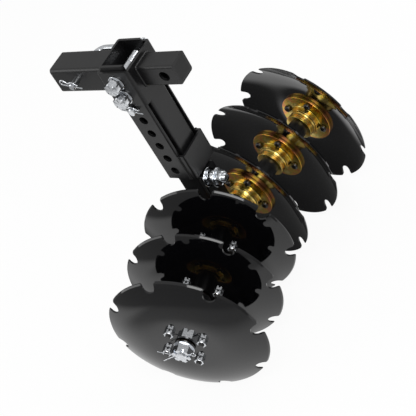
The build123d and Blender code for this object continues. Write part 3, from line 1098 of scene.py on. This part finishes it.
@dataclass
class LargeFasteners:
    """The sizes and shapes that the machine's 20 mm bolts, nuts and washers share."""

    material: bpy.types.Material
    flats: float = 30.0 * MM
    nut_height: float = 16.0 * MM
    washer_radius: float = 18.5 * MM
    washer_thickness: float = 3.0 * MM
    washer_edge: float = 0.7 * MM
    washer_clearance: float = 0.5 * MM
    bolt_radius: float = 10.0 * MM
    nut_clearance: float = 0.1 * MM
    countersink: float = 1.5 * MM
    thread_pitch: float = 2.5 * MM
    thread_depth: float = 1.3 * MM
    steps: int = 40

    def washer(self, frame: AxisFrame, start: float) -> Patch:
        """Turn a washer, its outer edges slightly rounded by the stamping.

        Args:
            frame: The bolt's axis.
            start: Distance of the washer's lower face.

        Returns:
            The washer.
        """
        edge, outer, end = self.washer_edge, self.washer_radius, start + self.washer_thickness
        bore = self.bolt_radius + self.washer_clearance
        profile = [
            (bore, start),
            (outer - edge, start),
            (outer, start + edge),
            (outer, end - edge),
            (outer - edge, end),
            (bore, end),
        ]
        return lathe(frame, profile, 72, closed=True)

    def nut(self, frame: AxisFrame, seat: float, face: float) -> Patch:
        """Mill a nut with cut corners and a countersunk bore.

        Args:
            frame: The bolt's axis.
            seat: Distance of the face that presses on the washer.
            face: Distance of the free face.

        Returns:
            The nut.
        """
        bore, sink = self.bolt_radius + self.nut_clearance, math.copysign(self.countersink, face - seat)
        blank = [(bore, seat), *hex_blank(seat, face, self.flats, True)]
        blank += [(bore + self.countersink, face), (bore, face - sink)]
        return hexagon(frame, blank, self.flats, closed=True)

    def shank(self, frame: AxisFrame, start: float, thread_start: float, end: float) -> list[Patch]:
        """Turn a plain shank with a threaded end.

        Args:
            frame: The bolt's axis.
            start: Distance at which the shank begins.
            thread_start: Distance at which its thread begins.
            end: Distance of its tip.

        Returns:
            The plain part and the threaded part.
        """
        turned = self.bolt_radius
        profile = [(0, start), (turned, start), (turned, thread_start), (0, thread_start)]
        cut = thread(frame, turned, thread_start, end, self.thread_pitch, self.thread_depth, self.steps)
        return [lathe(frame, profile, self.steps), cut]


@dataclass
class HeadFasteners(LargeFasteners):
    """The two large clamp bolts of the head, with their washers and nuts."""

    head_height: float = 20.5 * MM
    thread_start: float = -6.0 * MM

    def build(self) -> None:
        """Build the bolts, washers and nuts in place of their CAD nodes."""
        washers, nuts = [], []
        nut_face = -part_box("clamp_nuts")[1].y
        nut_seat = nut_face + self.nut_height
        for node in ("upper_clamp_bolt", "lower_clamp_bolt"):
            low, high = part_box(node)
            frame = AxisFrame.along(((low.x + high.x) / 2, 0.0, (low.z + high.z) / 2), (0.0, -1.0, 0.0))
            seat = -low.y - self.head_height
            top = seat + self.head_height
            profile = [(0, seat), *hex_blank(seat, top, self.flats, False), (0, top)]
            head = hexagon(frame, profile, self.flats)
            patches = [head, *self.shank(frame, seat, self.thread_start, -high.y)]
            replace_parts(make_piece(f"{node}_forging", patches, self.material, "frame"), node)
            washers += [self.washer(frame, seat - self.washer_thickness), self.washer(frame, nut_seat)]
            nuts.append(self.nut(frame, nut_seat, nut_face))
        for name, patches, node in (
            ("clamp_washer_set", washers, "clamp_washers"),
            ("clamp_nut_set", nuts, "clamp_nuts"),
        ):
            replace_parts(make_piece(name, patches, self.material, "frame"), node)


@dataclass
class LockFasteners(LargeFasteners):
    """The long bolt on the lock plate, with its two washers and nuts."""

    washer_radius: float = 22.0 * MM
    washer_clearance: float = 0.1 * MM
    step: float = 24.0 * MM

    def build(self) -> None:
        """Build the bolt, washers and nuts in place of their CAD nodes."""
        low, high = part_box("lock_bolt")
        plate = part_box("lock_nuts")[0].x
        frame = AxisFrame.along((0.0, (low.y + high.y) / 2, (low.z + high.z) / 2), (1.0, 0.0, 0.0))
        shank = self.shank(frame, low.x, plate, high.x)
        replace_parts(make_piece("lock_bolt_stud", shank, self.material, "frame"), "lock_bolt")
        patches = []
        for start in (plate, plate + self.step):
            seat = start + self.washer_thickness
            patches += [self.washer(frame, start), self.nut(frame, seat, seat + self.nut_height)]
        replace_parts(make_piece("lock_nut_set", patches, self.material, "frame"), "lock_nuts")


@dataclass
class WeldBeads:
    """Rippled fillet welds where the tubes, the keeper and the plate join."""

    material: bpy.types.Material
    size: float = 3.4 * MM
    ripple: float = 2.6 * MM
    ripple_depth: float = 0.14
    spacing: float = 0.5 * MM
    bar_corner: float = 6.0 * MM
    tube_corner: float = 7.5 * MM
    plate_inset: float = 4.0 * MM
    keeper_share: float = 0.985

    def bead(self, corners: np.ndarray, square_to: Any) -> Patch:
        """Carry a rippled round bead along straight runs between corners.

        The bead's radius swells and pinches with the absolute sine of the distance over the ripple's length.

        Args:
            corners: The seam's corners, of shape (corners, 3).
            square_to: A direction square to the seam's plane.

        Returns:
            The bead.
        """
        lengths = np.linalg.norm(np.diff(corners, axis=0), axis=1)
        reached = np.concatenate([[0], np.cumsum(lengths)])
        run = np.linspace(0, reached[-1], max(int(reached[-1] / self.spacing), 8))
        path = np.stack([np.interp(run, reached, corners[:, k]) for k in range(3)], axis=1)
        swell = 1 - self.ripple_depth + self.ripple_depth * np.abs(np.sin(math.pi * run / self.ripple))
        return tube(path, self.size * swell, square_to, 10)

    def rounded_frame(self, x: float, half: float, centre_z: float, corner: float) -> np.ndarray:
        """Give the seam round a square tube with rounded corners, at one place along X.

        Args:
            x: The seam's place.
            half: Half the tube's width.
            centre_z: Height of the tube's middle.
            corner: Radius of the tube's corners.

        Returns:
            The seam's points, the last equal to the first.
        """
        turn = np.linspace(0, FULL_TURN, 33)[:-1]
        quarter = np.floor(turn / (math.pi / 2)) * (math.pi / 2) + math.pi / 4
        inner = (half - corner) * math.sqrt(2)
        y = inner * np.cos(quarter) + corner * np.cos(turn)
        z = centre_z + inner * np.sin(quarter) + corner * np.sin(turn)
        points = np.stack([np.full(len(turn), x), y, z], axis=1)
        return np.concatenate([points, points[:1]])

    def build(self) -> None:
        """Build every bead as one piece on the frame."""
        bar_low, bar_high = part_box("hitch_shank")
        tube_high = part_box("receiver_tube")[1]
        keeper_low, keeper_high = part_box("leg_keeper")
        plate_low, plate_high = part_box("lock_plate")
        middle = (bar_low.z + bar_high.z) / 2
        forward = (1.0, 0.0, 0.0)
        patches = [
            self.bead(self.rounded_frame(bar_low.x, bar_high.y, middle, self.bar_corner), forward),
            self.bead(self.rounded_frame(tube_high.x, tube_high.y, middle, self.tube_corner), forward),
        ]
        for y in (keeper_low.y, keeper_high.y):
            seam = np.array([(keeper_low.x, y, keeper_low.z), (keeper_low.x, y, keeper_high.z)])
            patches.append(self.bead(seam * np.array([1, self.keeper_share, 1]), (0.0, 1.0, 0.0)))
        for y in (plate_low.y, plate_high.y):
            bottom, top = plate_low.z + self.plate_inset, plate_high.z - self.plate_inset
            seam = np.array([(plate_low.x, y, bottom), (plate_low.x, y, top)])
            patches.append(self.bead(seam, (0.0, 1.0, 0.0)))
        piece = make_piece("weld_beads", patches, self.material, "frame", 180.0)
        log.info("%s laid on %d seams", piece.name, len(patches))


@dataclass
class CotterPins:
    """Long split pins through the axle ends, their legs opened like a fork."""

    material: bpy.types.Material
    wire_radius: float = 1.15 * MM
    gap: float = 1.1 * MM
    eye_start: float = 23.0 * MM
    eye_radius: float = 5.0 * MM
    bend: float = 17.0 * MM
    bend_length: float = 5.0 * MM
    leg_end: float = 52.0 * MM
    spread: float = 0.44

    def route(self) -> tuple[np.ndarray, np.ndarray]:
        """Work out the pin's one wire in the plane square to the axle.

        A leg is straight through the axle, then opens by its spread times a soft ramp of how far it is past
        the nut. The eye is a circle that joins the two legs.

        Returns:
            Distances across and up of the wire's points.
        """
        leg = np.linspace(-self.leg_end, self.eye_start, 60)
        past = (-leg - self.bend) / self.bend_length
        open_by = self.spread * self.bend_length * np.logaddexp(0, past)
        height = self.gap + open_by
        swing = np.radians(np.linspace(166, -166, 32))
        eye_across = self.eye_start + self.eye_radius * (1 + np.cos(swing))
        eye_up = self.eye_radius * np.sin(swing)
        across = np.concatenate([leg, eye_across, leg[::-1]])
        up = np.concatenate([height, eye_up, -height[::-1]])
        return across, up

    def build(self, gangs: list[Gang], place: float) -> None:
        """Build both cotters in place of their CAD node.

        Args:
            gangs: The two gangs.
            place: Distance of the cotters from the point of the V.
        """
        across, up = self.route()
        patches = []
        for gang in gangs:
            frame = gang.frame
            path = frame.origin + frame.axis * place + across[:, None] * frame.across + up[:, None] * frame.up
            patches.append(tube(path, self.wire_radius, frame.axis, 10))
        piece = make_piece("cotter_wires", patches, self.material, "frame", 60.0)
        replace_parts(piece, "cotter_pins")


@dataclass
class SpringClips:
    """Hairpin clips of spring wire, one leg through the pin and the other bowed round it."""

    material: bpy.types.Material
    wire_radius: float = 1.8 * MM
    leg: float = 26.0 * MM
    back: float = 24.0 * MM
    loop: float = 6.0 * MM
    flare: float = 9.0 * MM
    clearance: float = 0.8 * MM
    lean_degrees: float = 14.0
    hitch_pin_radius: float = 7.95 * MM
    stop_pin_radius: float = 9.5 * MM

    def route(self, pin_radius: float) -> np.ndarray:
        """Work out the clip's wire in its own plane.

        A straight leg runs back to a half circle, a smooth cubic falls to the shoulder of an arc round the
        pin, and a second cubic flares out past it. A cubic is the Hermite blend of its ends and directions.

        Args:
            pin_radius: Radius of the pin.

        Returns:
            Points of shape (points, 2).
        """
        grip = pin_radius + self.wire_radius + self.clearance
        shoulder = grip * math.sqrt(0.5)
        leg = np.stack([np.linspace(self.leg, -self.back, 24), np.zeros(24)], axis=1)
        swing = np.radians(np.linspace(270, 90, 18))
        bend = np.stack([self.loop * np.cos(swing), self.loop * np.sin(swing)], axis=1)
        loop = bend + np.array([-self.back, self.loop])
        fall = hermite((-self.back, 2 * self.loop), (-shoulder, shoulder), (1, 0), (1, 1), 16)
        arc = np.radians(np.linspace(135, 45, 16))
        bow = np.stack([grip * np.cos(arc), grip * np.sin(arc)], axis=1)
        tip = hermite((shoulder, shoulder), (shoulder + self.flare, shoulder), (1, -1), (1, 1), 12)
        return np.concatenate([leg, loop[1:], fall[1:], bow[1:], tip[1:]])

    def build(self) -> None:
        """Build both clips in place of their CAD nodes."""
        lean = math.radians(self.lean_degrees)
        along = np.array([math.cos(lean), 0.0, -math.sin(lean)])
        up = np.array([math.sin(lean), 0.0, math.cos(lean)])
        hitch_low, hitch_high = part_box("receiver_pin")
        stop_low, stop_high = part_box("stop_pin")
        hitch_x, hitch_z = hitch_low.x + self.hitch_pin_radius, (hitch_low.z + hitch_high.z) / 2
        stop_x, stop_z = (stop_low.x + stop_high.x) / 2, (stop_low.z + stop_high.z) / 2
        for node, radius, x, z in (
            ("receiver_clip", self.hitch_pin_radius, hitch_x, hitch_z),
            ("stop_clip", self.stop_pin_radius, stop_x, stop_z),
        ):
            low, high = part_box(node)
            route = self.route(radius)
            path = np.array([x, (low.y + high.y) / 2, z]) + route[:, :1] * along + route[:, 1:] * up
            wire = tube(path, self.wire_radius, (0, 1, 0), 12)
            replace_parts(make_piece(f"{node}_wire", [wire], self.material, "frame", 60.0), node)


def hermite(start: Any, end: Any, start_way: Any, end_way: Any, steps: int) -> np.ndarray:
    """Join two points with a cubic that leaves and arrives in given directions.

    The cubic is the Hermite blend, and both directions are scaled to the distance between the points.

    Args:
        start: The first point.
        end: The last point.
        start_way: The direction at the first point.
        end_way: The direction at the last point.
        steps: How many points there are.

    Returns:
        Points of shape (steps, 2).
    """
    start, end = np.array(start, float), np.array(end, float)
    size = np.linalg.norm(end - start)
    first = np.array(start_way, float) / np.linalg.norm(start_way) * size
    last = np.array(end_way, float) / np.linalg.norm(end_way) * size
    t = np.linspace(0, 1, steps)[:, None]
    return (
        (2 * t**3 - 3 * t**2 + 1) * start
        + (t**3 - 2 * t**2 + t) * first
        + (3 * t**2 - 2 * t**3) * end
        + (t**3 - t**2) * last
    )


@dataclass
class Studio:
    """The floor, the world, the lamps and the camera."""

    focal_pixels: float = 1112.0
    frame_pixels: float = 416.0
    sensor_mm: float = 36.0
    right: tuple[float, float, float] = (0.80454, 0.42221, -0.41767)
    up: tuple[float, float, float] = (-0.04564, 0.74515, 0.66533)
    back: tuple[float, float, float] = (0.59214, -0.51622, 0.61878)
    from_bar: tuple[float, float, float] = (1.4999, -1.3288, 1.1614)
    floor_size: float = 14.0
    floor_share: float = 0.93
    card_level: float = 0.12
    card_edges: tuple[tuple[str, float, float], ...] = (
        ("x", 0.11, 0.0),
        ("y", -0.40, -0.18),
        ("skewed", 0.345, 0.30),
    )
    card_skew: float = -0.35
    front_level: float = 0.5
    front_edges: tuple[tuple[str, float, float], ...] = (("x", -0.5, -0.3), ("y", -0.5, -0.72))
    horizon_level: float = 0.34
    horizon_edge: tuple[float, float] = (0.95, 1.35)
    soft_strength: float = 0.55
    aim_height: float = 0.35
    lamps: tuple[tuple[str, tuple[float, float, float], float, float], ...] = (
        ("key", (1.6, -1.2, 2.6), 1.6, 42.0),
        ("fill", (-2.2, -1.4, 1.6), 1.8, 18.0),
        ("rim", (0.4, 2.6, 1.8), 1.4, 22.0),
    )

    def camera(self) -> None:
        """Place the camera where the photograph was taken from, measured from the middle of the head."""
        low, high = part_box("upright_channel")
        bar_low, bar_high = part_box("hitch_shank")
        head = np.array([(low.x + high.x) / 2, 0.0, (bar_low.z + bar_high.z) / 2])
        data = bpy.data.cameras.new("camera")
        data.sensor_width = self.sensor_mm
        data.lens = self.focal_pixels / self.frame_pixels * self.sensor_mm
        camera = bpy.data.objects.new("camera", data)
        bpy.context.scene.collection.objects.link(camera)
        turn = Matrix(np.array([self.right, self.up, self.back]).T.tolist()).to_quaternion().to_matrix()
        camera.matrix_world = Matrix.Translation(Vector(head + np.array(self.from_bar))) @ turn.to_4x4()
        bpy.context.scene.camera = camera

    def world(self) -> None:
        """Light the world white to the eye and in reflections, and softer on matt surfaces."""
        world = bpy.data.worlds.new("studio")
        bpy.context.scene.world = world
        world.use_nodes = True
        tree = world.node_tree
        tree.nodes.clear()
        output = tree.nodes.new("ShaderNodeOutputWorld")
        direction = add_node(tree, "ShaderNodeTexCoord").outputs["Generated"]
        height = add_node(tree, "ShaderNodeSeparateXYZ", {"Vector": direction}).outputs["Z"]
        stops = [(0.0, "#9E9E9E"), (0.4, "#B8B8B8"), (0.8, "#D8D8D8")]
        level = add_node(tree, "ShaderNodeValToRGB", {"Fac": height}, stops).outputs["Color"]
        rays = add_node(tree, "ShaderNodeLightPath").outputs
        soft = add_node(tree, "ShaderNodeBackground", {"Color": WHITE, "Strength": self.soft_strength})
        mirror = add_node(tree, "ShaderNodeBackground", {"Color": level, "Strength": 1.0})
        white = add_node(tree, "ShaderNodeBackground", {"Color": WHITE, "Strength": 1.0})
        glossy = {0: rays["Is Glossy Ray"], 1: soft.outputs[0], 2: mirror.outputs[0]}
        first = add_node(tree, "ShaderNodeMixShader", glossy)
        direct = {0: rays["Is Camera Ray"], 1: first.outputs[0], 2: white.outputs[0]}
        second = add_node(tree, "ShaderNodeMixShader", direct)
        tree.links.new(second.outputs[0], output.inputs["Surface"])

    def floor_level(self, tree: bpy.types.NodeTree) -> Any:
        """Work out how bright the floor is in reflections.

        It is white, as a studio floor is, but for a black card behind the near gang and under the far one and
        a grey stretch in front of the near gang. Each has a share that is the product of smooth steps across
        its edges, one of them at a slant. Far out the floor runs to the level of the world's horizon, so that
        no edge shows in the blades.

        Args:
            tree: The floor's node tree.

        Returns:
            The socket of the level.
        """
        place = add_node(tree, "ShaderNodeTexCoord").outputs["Object"]
        parts = add_node(tree, "ShaderNodeSeparateXYZ", {"Vector": place}).outputs
        slant = {0: parts["X"], 1: self.card_skew, 2: parts["Y"]}
        skewed = add_node(tree, "ShaderNodeMath", slant, operation="MULTIPLY_ADD").outputs[0]
        sources = {"x": parts["X"], "y": parts["Y"], "skewed": skewed}
        level = 1.0
        for edges, darkest in ((self.front_edges, self.front_level), (self.card_edges, self.card_level)):
            share = 1.0
            for source, start, end in edges:
                across = {"Value": sources[source], "From Min": start, "From Max": end}
                edge = add_node(tree, "ShaderNodeMapRange", across, interpolation_type="SMOOTHSTEP")
                both = {0: share, 1: edge.outputs["Result"]}
                share = add_node(tree, "ShaderNodeMath", both, operation="MULTIPLY").outputs[0]
            darkening = {"Value": share, "To Min": level, "To Max": darkest}
            level = add_node(tree, "ShaderNodeMapRange", darkening).outputs["Result"]
        reach = add_node(tree, "ShaderNodeVectorMath", {0: place}, operation="LENGTH").outputs["Value"]
        near, far = self.horizon_edge
        outward = {"Value": reach, "From Min": near, "From Max": far}
        horizon = add_node(tree, "ShaderNodeMapRange", outward, interpolation_type="SMOOTHSTEP")
        blend = {0: horizon.outputs["Result"], 2: level, 3: self.horizon_level}
        return add_node(tree, "ShaderNodeMix", blend).outputs[0]

    def floor(self) -> None:
        """Lay a white floor that keeps a faint shadow and shows white to the eye and in reflections."""
        half = self.floor_size / 2
        axis = np.linspace(-half, half, 2)
        x, y = np.meshgrid(axis, axis, indexing="ij")
        grid = Patch(np.stack([x, y, np.zeros_like(x)], axis=-1), (False, False))
        mesh = bpy.data.meshes.new("floor")
        mesh.from_pydata(grid.points.reshape(-1, 3).tolist(), [], grid.faces(0).tolist())
        material, tree, output = new_material("white_floor")
        rays = add_node(tree, "ShaderNodeLightPath").outputs
        share = {0: rays["Is Camera Ray"], 1: self.floor_share}
        seen = add_node(tree, "ShaderNodeMath", share, operation="MULTIPLY")
        matt = add_node(tree, "ShaderNodeBsdfDiffuse", {"Color": linear("#F2F2F2")})
        glow = add_node(tree, "ShaderNodeEmission", {"Color": WHITE, "Strength": 1.0})
        card = add_node(tree, "ShaderNodeEmission", {"Color": WHITE, "Strength": self.floor_level(tree)})
        direct = {0: seen.outputs[0], 1: matt.outputs[0], 2: glow.outputs[0]}
        plain = add_node(tree, "ShaderNodeMixShader", direct)
        glossy = {0: rays["Is Glossy Ray"], 1: plain.outputs[0], 2: card.outputs[0]}
        mixed = add_node(tree, "ShaderNodeMixShader", glossy)
        tree.links.new(mixed.outputs[0], output.inputs["Surface"])
        mesh.materials.append(material)
        floor = bpy.data.objects.new("floor", mesh)
        bpy.context.scene.collection.objects.link(floor)

    def lamp(self, name: str, place: tuple[float, float, float], size: float, watts: float) -> None:
        """Hang a square area lamp that faces the middle of the harrow.

        Args:
            name: The lamp's name.
            place: Where it hangs.
            size: The length of its side.
            watts: Its power.
        """
        data = bpy.data.lights.new(name, "AREA")
        data.size = size
        data.energy = watts
        lamp = bpy.data.objects.new(name, data)
        lamp.location = place
        aim = Vector((0.0, 0.0, self.aim_height)) - Vector(place)
        lamp.rotation_euler = aim.to_track_quat("-Z", "Y").to_euler()
        bpy.context.scene.collection.objects.link(lamp)

    def build(self) -> None:
        """Build the whole studio."""
        self.camera()
        self.world()
        self.floor()
        for lamp in self.lamps:
            self.lamp(*lamp)


@dataclass
class Harrow:
    """The whole machine's six discs: how far out they sit and how their notches are turned."""

    first_rim: float = 67.0 * MM
    spacing: float = 128.5 * MM
    notch_turns: dict[int, float] = field(
        default_factory=lambda: {1: 23.0, 2: -7.0, 3: -0.5, 4: 30.0, 5: 0.5, 6: 3.5}
    )

    def discs(self, gangs: dict[Side, Gang]) -> list[Disc]:
        """List the six discs, 1 to 3 inwards on the far gang and 4 to 6 outwards on the near one.

        Args:
            gangs: The two gangs.

        Returns:
            The discs, in the order of their numbers.
        """
        made = []
        for number, turn in self.notch_turns.items():
            side = Side.FAR if number <= 3 else Side.NEAR
            place = 3 - number if side is Side.FAR else number - 4
            made.append(Disc(number, gangs[side], self.first_rim + place * self.spacing, math.radians(turn)))
        return made


def dress(
    nodes: dict[str, bpy.types.Object], record: dict[str, Any], finishes: dict[str, bpy.types.Material]
) -> None:
    """Give each CAD node the finish of its material slot.

    Args:
        nodes: The frame's CAD nodes.
        record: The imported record.
        finishes: A material for each slot name.
    """
    for part in record["subparts"]:
        mesh = nodes[part["node"]].data
        mesh.materials.clear()
        mesh.materials.append(finishes[part["material_slot"]])


def axle_end_place(gang: Gang, depth_from_tip: float = 3.0 * MM + 3.5 * MM) -> float:
    """Return how far from the point of the V a cotter crosses its axle, a given depth inside its end."""
    points = np.array([v.co for v in bpy.data.objects["axle_far"].data.vertices])
    return float(((points - gang.frame.origin) @ gang.frame.axis).max()) - depth_from_tip


def main() -> None:
    """Load the frame, dress it, build the pieces and set up the studio."""
    logging.basicConfig(level=logging.INFO, format="%(name)s: %(message)s")
    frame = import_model()
    bpy.context.scene.view_settings.view_transform = "Standard"
    gangs = {side: Gang.from_joints(side, frame["joints"]) for side in Side}
    zinc, coat, oxide = BrightZinc().build(), PowderCoat().build(), BlackOxide().build()
    enamel = GlossEnamel().build()
    gold = {}
    for side, gang in gangs.items():
        name, apex = f"yellow_zinc_{side.name.lower()}", tuple(gang.frame.origin)
        gold[side] = YellowZinc(name=name, apex=apex, outward_angle=gang.outward_angle()).build()
    finishes = {
        Slot.FRAME.value: coat,
        Slot.PLUG.value: MouldedPlug().build(),
        Slot.ZINC.value: zinc,
        Slot.BLADE.value: enamel,
        Slot.HUB.value: gold[Side.FAR],
        Slot.FASTENER.value: zinc,
    }
    dress(frame["nodes"], frame["record"], finishes)
    blades, hubs, fasteners = Blades(enamel), Hubs(gold), HubFasteners(oxide, zinc)
    for disc in Harrow().discs(gangs):
        blades.build(disc)
        hubs.build(disc)
        fasteners.build(disc)
    HeadFasteners(zinc).build()
    LockFasteners(zinc).build()
    WeldBeads(coat).build()
    CotterPins(zinc).build(list(gangs.values()), axle_end_place(gangs[Side.FAR]))
    SpringClips(zinc).build()
    Studio().build()


if __name__ == "__main__":
    main()
